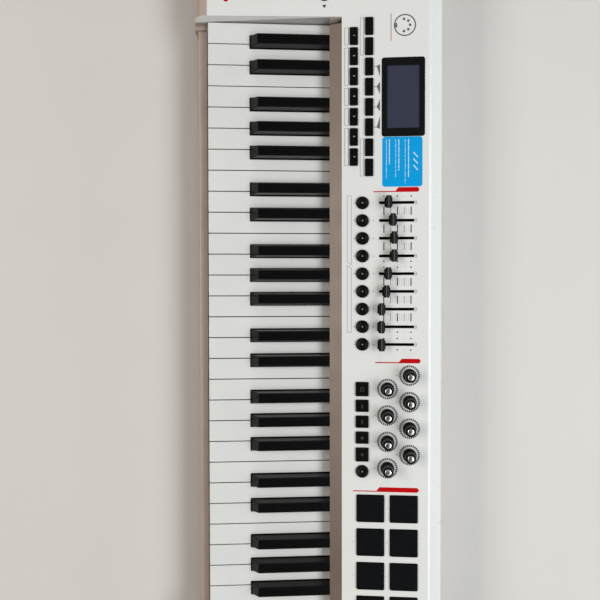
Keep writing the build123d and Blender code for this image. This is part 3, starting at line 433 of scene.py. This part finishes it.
def silicone():
    """Pad rubber: matte, fine-pored, with a faint sheen."""
    recipe = Recipe("silicone")
    pores = recipe.add("ShaderNodeTexVoronoi", {"Vector": recipe.coords, "Scale": 1500}).outputs["Distance"]
    dust = recipe.noise(160, 5, 0.75)
    recipe.set(
        Base_Color=recipe.mix(
            recipe.ramp(dust, 0.45, 0.8, 0, 1), (0.0024, 0.0030, 0.0036), (0.0048, 0.0056, 0.0064)
        ),
        Roughness=recipe.ramp(dust, 0.3, 0.7, 0.5, 0.66),
        Specular_IOR_Level=0.07,
    )
    recipe.bump((pores, 0.25, 0.03))
    return recipe.material


def ink(name, colour, roughness=0.42, shine=0.5):
    """Screen-printed ink: a touch uneven, with pinholes showing as gloss changes."""
    recipe = Recipe(name)
    mottle = recipe.noise(700, 4, 0.7)
    recipe.set(
        Base_Color=recipe.mix(recipe.ramp(mottle, 0.3, 0.7, 0, 1), tuple(c * 0.9 for c in colour), colour),
        Roughness=recipe.ramp(mottle, 0.3, 0.7, roughness - 0.05, roughness + 0.08),
        Specular_IOR_Level=shine,
    )
    recipe.bump((mottle, 0.1, 0.01))
    return recipe.material


def screen():
    """A liquid crystal panel behind glass: a fine dot grid under a glossy cover."""
    recipe = Recipe("screen")
    dots = recipe.add(
        "ShaderNodeTexBrick",
        {
            "Vector": recipe.coords, "Color1": (0.040, 0.045, 0.078, 1),
            "Color2": (0.046, 0.051, 0.086, 1), "Mortar": (0.028, 0.031, 0.052, 1), "Scale": 1000,
            "Mortar Size": 0.06, "Brick Width": 0.5, "Row Height": 0.5,
        },
        offset=0.0,
    )
    clouds = recipe.noise(30, 3)
    tint = recipe.mix(recipe.ramp(clouds, 0.3, 0.7, 0, 0.35), (1, 1, 1), (0.82, 0.88, 1.0))
    recipe.set(
        Base_Color=recipe.mix(1.0, dots.outputs["Color"], tint, blend="MULTIPLY"),
        Roughness=recipe.ramp(recipe.noise(80, 4), 0.3, 0.7, 0.16, 0.24),
        Coat_Weight=1.0,
        Coat_Roughness=0.03,
    )
    return recipe.material


def circuit():
    """A circuit board: green solder mask over faint copper tracks."""
    recipe = Recipe("circuit")
    tracks = recipe.add("ShaderNodeTexBrick", {
        "Vector": recipe.coords, "Color1": (0.012, 0.10, 0.035, 1), "Color2": (0.010, 0.085, 0.03, 1),
        "Mortar": (0.03, 0.19, 0.07, 1), "Scale": 220, "Mortar Size": 0.03,
    })
    recipe.set(
        Base_Color=tracks.outputs["Color"],
        Roughness=recipe.ramp(recipe.noise(300, 3), 0.3, 0.7, 0.25, 0.4),
    )
    recipe.bump((tracks.outputs["Fac"], 0.2, 0.03))
    return recipe.material


finishes = {
    # The shell's front band uses the rail's shaded brown, partly painted shade and reflection.
    "case_white": shell((0.735, 0.747, 0.735), (0.42, 0.335, 0.29)),
    # The trim's lip and rail colours are painted shade and reflection, and its side colour is the lit tone.
    "case_silver": trim_paint((0.176, 0.130, 0.106), (0.42, 0.335, 0.29), (0.57, 0.56, 0.55), 0.42),
    "ivory_plastic": ivory(),
    "ebony_plastic": ebony(),
    "control_black": moulded("control", (0.0038, 0.0038, 0.0036), 0.34, grain=0.08, drift=0.2, shine=0.11),
    "knob_black": moulded("knob", (0.004, 0.004, 0.004), 0.3, grain=0.1, drift=0.25, shine=0.35),
    "pad_rubber": silicone(),
    "wheel_rubber": moulded("wheel", (0.04, 0.04, 0.041), 0.55, grain=0.4, drift=0.15),
    "frame_steel": metal("plated", (0.6, 0.6, 0.58), 0.35, (0.2, 1, 1)),
    "circuit_board": circuit(),
    "inner_plastic": moulded("inner", (0.006, 0.006, 0.006), 0.6, drift=0.1, shine=0.2),
    "screen_glass": screen(),
    "bezel_black": moulded(
        "bezel", (0.004, 0.0045, 0.0048), 0.16, grain=0.03, spread=0.05, coat=0.35, drift=0.2
    ),
    "socket_plastic": moulded("socket", (0.02, 0.02, 0.021), 0.45, drift=0.1),
    "foot_rubber": moulded("foot", (0.02, 0.02, 0.02), 0.75, grain=0.5, drift=0.2),
    "screw_steel": metal("screw", (0.42, 0.42, 0.43), 0.3),
}
for subpart in frame["record"]["subparts"]:
    for surface_slot in nodes[subpart["node"]].material_slots:
        surface_slot.material = finishes[subpart["material_slot"]]

dark_ink = ink("dark_ink", (0.016, 0.017, 0.016))
grey_ink = ink("grey_ink", (0.13, 0.135, 0.13))
pale_ink_and_dimple_shade = ink("pale_ink_and_dimple_shade", (0.42, 0.43, 0.43))
slot_black = ink("slot_black", (0.002, 0.002, 0.002), 0.6, 0.1)
dim_ink = ink("dim_ink", (0.06, 0.06, 0.058))
grey_lens = ink("grey_lens", (0.30, 0.31, 0.31), 0.3)
red_ink = ink("red_ink", (0.50, 0.003, 0.005), 0.36, 0.09)
white_ink = ink("white_ink", (0.78, 0.8, 0.82))
label_ink = ink("label_ink", (0.62, 0.72, 0.80))
sticker_blue = ink("sticker_blue", (0.0, 0.33, 0.73), 0.5, 0.12)
silver = metal("spun_silver", (0.66, 0.66, 0.65), 0.24, anisotropy=0.7)

# ------------------------------------------------------------------ control places
FUNCTION_PITCH = 22.0
FRONT_ROW = [20.8 + FUNCTION_PITCH * i for i in range(7)]
REAR_ROW = [10.4 + FUNCTION_PITCH * i for i in range(8)]
CAP_WIDTH = 18.7
FRONT_ROW_V = 13.1
ROUND_V = 22.6
CAP_RISE = 2.4
sliders = [panel_place(f"slider_cap_{i}")[0] for i in range(1, 10)]
pads = [panel_place(f"pad_{i}") for i in range(1, 9)]
knobs = [on_panel(Vector(joints[f"knob_{i}_turn"]["pos_m"])) for i in range(1, 9)]

# ------------------------------------------------------------------ printing on the panel, and painted dimple shade at the slot ends
LABEL_LINE = 0.32
FRONT_LABELS = (3.1, 7.3)  # each pair is where a row of boxes starts and ends, up the panel
REAR_LABELS = (20.2, 24.0)
BRACKET_LABELS = (6.0, 10.4)


def label_box(bm, first_x, last_x, span_v):
    """A thin printed box that reaches from one button to another."""
    low_x, high_x = first_x - CAP_WIDTH / 2, last_x + CAP_WIDTH / 2
    low_v, high_v = span_v
    frame_lines(bm, panel, [(low_x, low_v), (high_x, low_v), (high_x, high_v), (low_x, high_v)], LABEL_LINE)


def print_label_boxes(bm):
    """Boxes ahead of the function buttons: one for a single button, one across a pair."""
    for first, last in ((0, 0), (1, 2), (3, 3), (4, 4), (5, 6)):
        label_box(bm, FRONT_ROW[first], FRONT_ROW[last], FRONT_LABELS)
    for first, last in ((0, 1), (6, 7)):
        label_box(bm, REAR_ROW[first], REAR_ROW[last], REAR_LABELS)


def print_bracket_boxes(bm):
    """Two long boxes ahead of the round buttons, one per group of four, meeting on a slant."""
    low, high = BRACKET_LABELS
    start, middle, end = sliders[0] - 7.9, (sliders[3] + sliders[4]) / 2, sliders[7] + 6.4
    first = [(start, low), (middle - 3.2, low), (middle - 0.4, high), (start, high)]
    second = [(middle + 0.5, low), (end, low), (end, high), (middle + 3.3, high)]
    frame_lines(bm, panel, first, LABEL_LINE)
    frame_lines(bm, panel, second, LABEL_LINE)


TICK_LOW_V, TICK_HIGH_V, TICK_STEPS = 46.1, 75.7, 12
MAJOR_TICK, MIDDLE_TICK, MINOR_TICK = 1.15, 0.5, 0.25
MAJOR_DOT, MIDDLE_DOT = 0.85, 0.34


def print_slider_scales(dark, pale):
    """Tick lines between neighbouring sliders and dots where a group of sliders ends."""
    step = (TICK_HIGH_V - TICK_LOW_V) / TICK_STEPS
    groups = (sliders[0:4], sliders[4:8])
    dots = [x for group in groups for x in (group[0] - 7.0, group[-1] + 5.8)]
    dots += [sliders[8] - 6.6, sliders[8] + 6.0]
    for i in range(TICK_STEPS + 1):
        v = TICK_LOW_V + step * i
        major, middle = i % 6 == 0, i % 3 == 0
        thickness = MAJOR_TICK if major else MIDDLE_TICK if middle else MINOR_TICK
        for group in groups:
            for left, right in zip(group, group[1:]):
                line(dark if middle else pale, panel, (left + 5.2, v), (right - 6.6, v), thickness)
        if middle:
            for x in dots:
                prism(dark, panel, disc_outline(x, v, MAJOR_DOT if major else MIDDLE_DOT, 12))


def print_slot_ends(bm):
    """A pale arc and dot past the far end of each slider's slot, painted shade that stands for a moulded
    dimple there. The arc is open towards the slot.
    """
    arc_v, dot_v = 79.9, 80.6
    sweep = [pi * i / 12 for i in range(-1, 14)]
    for x in sliders:
        outer = [(x + 2.5 * cos(angle), arc_v + 2.5 * sin(angle)) for angle in sweep]
        inner = [(x + 1.75 * cos(angle), arc_v + 1.75 * sin(angle)) for angle in reversed(sweep)]
        prism(bm, panel, outer + inner)
        prism(bm, panel, disc_outline(x, dot_v, 0.9, 16))


def print_knob_rings(bm):
    """A dashed ring about each knob."""
    dashes, inner, outer = 30, 9.2, 11.4
    pitch = 2 * pi / dashes
    half_dash = 0.34 * pitch
    for x, v in knobs:
        for i in range(dashes):
            start, end = pitch * i - half_dash, pitch * i + half_dash
            corners = ((inner, start), (outer, start), (outer, end), (inner, end))
            prism(bm, panel, [(x + r * cos(angle), v + r * sin(angle)) for r, angle in corners])


def print_soft_key_marks(bm):
    """Stems and slanted wedges that lead from four function buttons to the display."""
    stem_low, stem_high, wedge_low, wedge_high = 35.8, 38.9, 38.4, 41.8
    spreads = [(-2.1, 11.6), (-5.4, 8.3), (-8.3, 5.0), (-12.0, 2.1)]
    for x, (left, right) in zip(REAR_ROW[2:6], spreads):
        line(bm, panel, (x, stem_low), (x, stem_high), 0.7)
        narrow = [(x - 0.8, wedge_low), (x + 0.8, wedge_low)]
        wide = [(x + right, wedge_high), (x + left, wedge_high)]
        prism(bm, panel, narrow + wide)


def banner(bm, x, low_v, step_v, high_v, width):
    """A group banner: a thin line that steps on a slant up to a thick bar with a rounded end."""
    line_width, slant = 1.15, 3.2
    right = x + width / 2
    radius = width / 2
    outline = [(right - line_width, low_v), (right, low_v), (right, high_v - radius)]
    for i in range(1, 17):
        angle = pi * i / 16
        outline.append((right - radius + radius * cos(angle), high_v - radius + radius * sin(angle)))
    outline += [(right - width, step_v + slant), (right - line_width, step_v)]
    prism(bm, panel, outline)


def print_numbers(bm):
    """Small numbers ahead of the round buttons, sliders, knobs and pads."""
    button_number_v, slider_number_v, ahead_of_knob, ahead_of_pad = 13.6, 34.6, 13.6, 18.4
    for number, x in enumerate(sliders, start=1):
        glyphs(bm, panel, str(number), x, button_number_v, 2.5)
        glyphs(bm, panel, str(number), x, slider_number_v, 2.7)
    for number, (x, v) in enumerate(knobs, start=1):
        glyphs(bm, panel, str(number), x, v - ahead_of_knob, 2.6)
    for number, (x, v) in enumerate(pads, start=1):
        glyphs(bm, panel, str(number), x, v - ahead_of_pad, 2.0)


def print_plug_icon(bm):
    """A generic five-pin plug icon behind the function buttons."""
    x, v = 10.5, 68.6
    pin_circle, pin_radius = 6.6, 1.5
    ring(bm, panel, x, v, 10.6, 12.0)
    for i in range(5):
        angle = pi * i / 4
        pin = disc_outline(x + pin_circle * cos(angle), v + pin_circle * sin(angle) - 1.0, pin_radius)
        prism(bm, panel, pin)
    prism(bm, panel, round_box_outline(x, v - 9.4, 5.0, 2.2, 0.6, 3))


def print_icon_line(grey, red):
    """A fine line beside the plug icon, grey in its first half and red in its second."""
    start, middle, end, v = -2, 14, 27, 53.6
    line(grey, panel, (start, v), (middle, v), 0.7)
    line(red, panel, (middle + 1, v), (end, v), 0.7)


def print_left_panel(dark, red):
    """A red bar near the front of the left panel and a pointer at each end of the wheels' dish."""
    prism(red, cheek, round_box_outline(-40.4, 20.8, 40.0, 5.2, 2.0))
    pointer_v, pointer_half, pointer_length = 129.8, 2.3, 3.6
    for x, way in ((-14.2, 1), (-59.0, -1)):
        tip = (x + way * pointer_length, pointer_v)
        prism(dark, cheek, [(x, pointer_v - pointer_half), tip, (x, pointer_v + pointer_half)])


dark_print = bmesh.new()
pale_print_and_dimple_shade = bmesh.new()
grey_print = bmesh.new()
red_print = bmesh.new()
print_label_boxes(dark_print)
print_bracket_boxes(grey_print)
print_slider_scales(dark_print, pale_print_and_dimple_shade)
# The slot ends are painted shade of moulded dimples, drawn in the same pale ink as the minor ticks.
print_slot_ends(pale_print_and_dimple_shade)
print_knob_rings(dark_print)
print_soft_key_marks(grey_print)
print_numbers(dark_print)
print_plug_icon(grey_print)
banner(red_print, 189.1, 34.5, 58.6, 84.5, 5.2)
banner(red_print, 377.2, 36.8, 62.6, 86.2, 5.0)
banner(red_print, 520.0, 12.3, 38.2, 84.5, 5.2)
print_icon_line(grey_print, red_print)
print_left_panel(dark_print, red_print)
piece("panel_print_dark", dark_print, "case", dark_ink)
piece("panel_print_pale_and_dimple_shade", pale_print_and_dimple_shade, "case", pale_ink_and_dimple_shade)
piece("panel_print_grey", grey_print, "case", grey_ink)
piece("panel_print_red", red_print, "case", red_ink)

# ------------------------------------------------------------------ sticker
STICKER_X, STICKER_V = 158.6, 66.0
STICKER_TOP = 0.13
WORD_GAP = 1.6
sticker = bmesh.new()
prism(sticker, panel, round_box_outline(STICKER_X, STICKER_V, 54.4, 43.6, 3.0), 0.01, STICKER_TOP)
piece("sticker", sticker, "case", sticker_blue)
sticker_print = bmesh.new()
sticker_words = random.Random(5)
for v, end, weight in ((48.7, 18, 0.55), (51.9, 2, 0.95), (58.8, 18, 0.55), (62.2, 9, 0.95),
                       (69.1, 24, 0.55), (72.7, 17, 0.95)):
    start = -24
    while start < end:
        length = min(sticker_words.uniform(2.2, 7.0), end - start)
        line(sticker_print, panel, (STICKER_X + start, v), (STICKER_X + start + length, v), weight)
        start += length + WORD_GAP
for slash in range(3):
    start = STICKER_X - 9.6 + slash * 7.0
    line(sticker_print, panel, (start, 78.4), (start + 4.6, 82.4), 1.2)
for vertex in sticker_print.verts:
    vertex.co += panel.normal * (STICKER_TOP - PRINT_LOW) * MM
piece("sticker_print", sticker_print, "case", label_ink)

# ------------------------------------------------------------------ marks on the moving controls
MARK_LOW = CAP_RISE + 0.01
MARK_HIGH = MARK_LOW + 0.05
function_marks = bmesh.new()
for number, x in enumerate(FRONT_ROW, start=1):
    glyphs(function_marks, panel, str(number), x, FRONT_ROW_V + 0.3, 2.9, MARK_LOW)
piece("function_marks", function_marks, "function_buttons", white_ink)

LOOP_X, BACK_X, FORWARD_X, STOP_X, PLAY_X, RECORD_X = 408.7, 427.2, 444.9, 462.6, 481.4, 500.1
TRANSPORT_V = 22.4
LENS_RADIUS = 0.85
DISH_DEPTH = 1.02


def box_mark(bm, x, v, width, depth):
    """A solid rectangle on a transport button."""
    prism(bm, panel, box_outline(x, v, width, depth), MARK_LOW, MARK_HIGH)


def arrow_mark(bm, x, size, way):
    """A solid arrowhead on a transport button, towards +X if way is 1 and towards -X if it is -1."""
    tail, tip, v = x - way * size / 2, x + way * size / 2, TRANSPORT_V
    prism(bm, panel, [(tail, v - size / 2), (tip, v), (tail, v + size / 2)][::way], MARK_LOW, MARK_HIGH)


transport_marks = bmesh.new()
for side in (-1, 1):
    box_mark(transport_marks, LOOP_X, TRANSPORT_V + side * 1.7, 4.2, 0.5)
    box_mark(transport_marks, LOOP_X + side * 1.9, TRANSPORT_V, 0.5, 2.9)
    arrow_mark(transport_marks, BACK_X + side * 1.1, 2.2, -1)
    arrow_mark(transport_marks, FORWARD_X + side * 1.1, 2.2, 1)
box_mark(transport_marks, STOP_X, TRANSPORT_V, 2.6, 2.6)
arrow_mark(transport_marks, PLAY_X, 3.0, 1)
piece("transport_marks", transport_marks, "transport_buttons", dim_ink)


def lens(bm, x, v):
    """A small domed light lens standing in a round button's dish."""
    profile = [
        (LENS_RADIUS, 0), (LENS_RADIUS, 0.15), (LENS_RADIUS * 0.85, 0.4), (LENS_RADIUS * 0.5, 0.55), (0, 0.6),
    ]
    lathe(bm, panel.matrix(x, v, CAP_RISE - DISH_DEPTH), profile, 24)


button_lenses = bmesh.new()
for x in sliders:
    lens(button_lenses, x, ROUND_V)
piece("button_lenses", button_lenses, "slider_buttons", grey_lens, smooth=True)
record_lens = bmesh.new()
lens(record_lens, RECORD_X, TRANSPORT_V)
piece("record_lens", record_lens, "transport_buttons", grey_lens, smooth=True)

# ------------------------------------------------------------------ liners of the slider slots
SLOT_MIDDLE_V = 60.0
LINER_BOTTOM, LINER_SHOULDER, LINER_TOP = -2.4, 0.03, 0.1
slot_liners = bmesh.new()
for x in sliders:
    inside = round_box_outline(x, SLOT_MIDDLE_V, 1.66, 37.3, 0.6)
    sleeve = round_box_outline(x, SLOT_MIDDLE_V, 2.1, 37.8, 0.8)
    flange = round_box_outline(x, SLOT_MIDDLE_V, 3.1, 38.6, 1.2)
    band(slot_liners, panel, inside, sleeve, LINER_BOTTOM, LINER_SHOULDER)
    band(slot_liners, panel, inside, flange, LINER_SHOULDER, LINER_TOP)
piece("slot_liners", slot_liners, "case", slot_black)

# ------------------------------------------------------------------ knob and slider trim
KNOB_HEIGHT = 17.0
SLIDER_HEIGHT = 12.0
DISC_PROFILE = [  # radius and height, from the rim to the crown
    (3.5, 0.0), (3.5, 0.2), (3.3, 0.42), (2.8, 0.62), (2.1, 0.79), (1.4, 0.91), (0.6, 0.98), (0, 1.0),
]
for number, (x, v) in enumerate(knobs, start=1):
    disc = bmesh.new()
    lathe(disc, panel.matrix(x, v, KNOB_HEIGHT), DISC_PROFILE, 64)
    piece(f"knob_disc_{number}", disc, f"knob_{number}", silver, smooth=True)

for number in range(1, 10):
    x, v = panel_place(f"slider_cap_{number}")
    # Each cap's grey stripe is its index line and also a painted highlight on the ridge, set off towards the
    # far side.
    index_and_highlight = bmesh.new()
    prism(index_and_highlight, panel, box_outline(x, v + 0.45, 12.2, 0.7), SLIDER_HEIGHT, SLIDER_HEIGHT + 0.08)
    piece(f"slider_index_and_highlight_{number}", index_and_highlight, f"slider_cap_{number}", grey_ink)

# ------------------------------------------------------------------ floor, light and camera
FLOOR_WIDTH = 12.0
floor_mesh = bpy.data.meshes.new("floor")
floor_corners = [(x, y, 0) for x, y in box_outline(0, 0, FLOOR_WIDTH, FLOOR_WIDTH)]
floor_mesh.from_pydata(floor_corners, [], [(0, 1, 2, 3)])
floor_paper = moulded("floor_paper", (0.62, 0.60, 0.575), 0.8, grain=0.1, drift=0.01)
new_object("floor", floor_mesh, floor_paper)


def area_light(name, place, target, size, power, colour):
    """A soft rectangular light that faces a point."""
    light = bpy.data.lights.new(name, "AREA")
    light.shape = "RECTANGLE"
    light.size, light.size_y = size
    light.energy = power
    light.color = colour
    obj = bpy.data.objects.new(name, light)
    obj.location = place
    obj.rotation_euler = (Vector(target) - Vector(place)).to_track_quat("-Z", "Y").to_euler()
    bpy.context.scene.collection.objects.link(obj)


object_middle = (0, 0, 0.05)
area_light("window", (0.35, 1.35, 1.85), (0.05, 0.0, 0.05), (2.2, 1.0), 43, (0.965, 0.99, 1.0))
area_light("right_fill", (2.2, 0.2, 1.5), object_middle, (0.6, 1.0), 4, (1.0, 0.99, 0.97))
area_light("left_fill", (-2.2, 0.1, 1.5), object_middle, (0.6, 1.0), 7, (1.0, 0.98, 0.95))
area_light("front_fill", (-0.1, -2.0, 1.8), object_middle, (2.0, 0.8), 38, (1.0, 0.94, 0.87))
area_light("back_fill", (0.0, 2.8, 0.8), object_middle, (2.4, 0.6), 18, (0.88, 0.96, 1.0))

world = bpy.data.worlds.new("studio")
world.use_nodes = True
background = world.node_tree.nodes["Background"]
background.inputs["Color"].default_value = (1.0, 0.985, 0.96, 1)
background.inputs["Strength"].default_value = 0.07
bpy.context.scene.world = world
bpy.context.scene.view_settings.view_transform = "Standard"

# The camera hangs over the keys, a little tilted, and is turned so that the keyboard runs down the frame.
CAMERA_OFFSET = (297.34, 59.81, 701.85)  # from the top of the keys' front left corner, in millimetres
CAMERA_ANGLES = (-1.0525, -3.509, 89.9228)  # about X, Y and Z, in degrees
camera_data = bpy.data.cameras.new("camera")
camera_data.sensor_width = 36.0
camera_data.lens = 37.2
camera_data.clip_start = 0.01
camera = bpy.data.objects.new("camera", camera_data)
bpy.context.scene.collection.objects.link(camera)
eye = Vector((keys_left, keys_front, key_top)) + Vector(CAMERA_OFFSET) * MM
aim = Euler([radians(angle) for angle in CAMERA_ANGLES])
camera.matrix_world = Matrix.LocRotScale(eye, aim, None)
bpy.context.scene.camera = camera
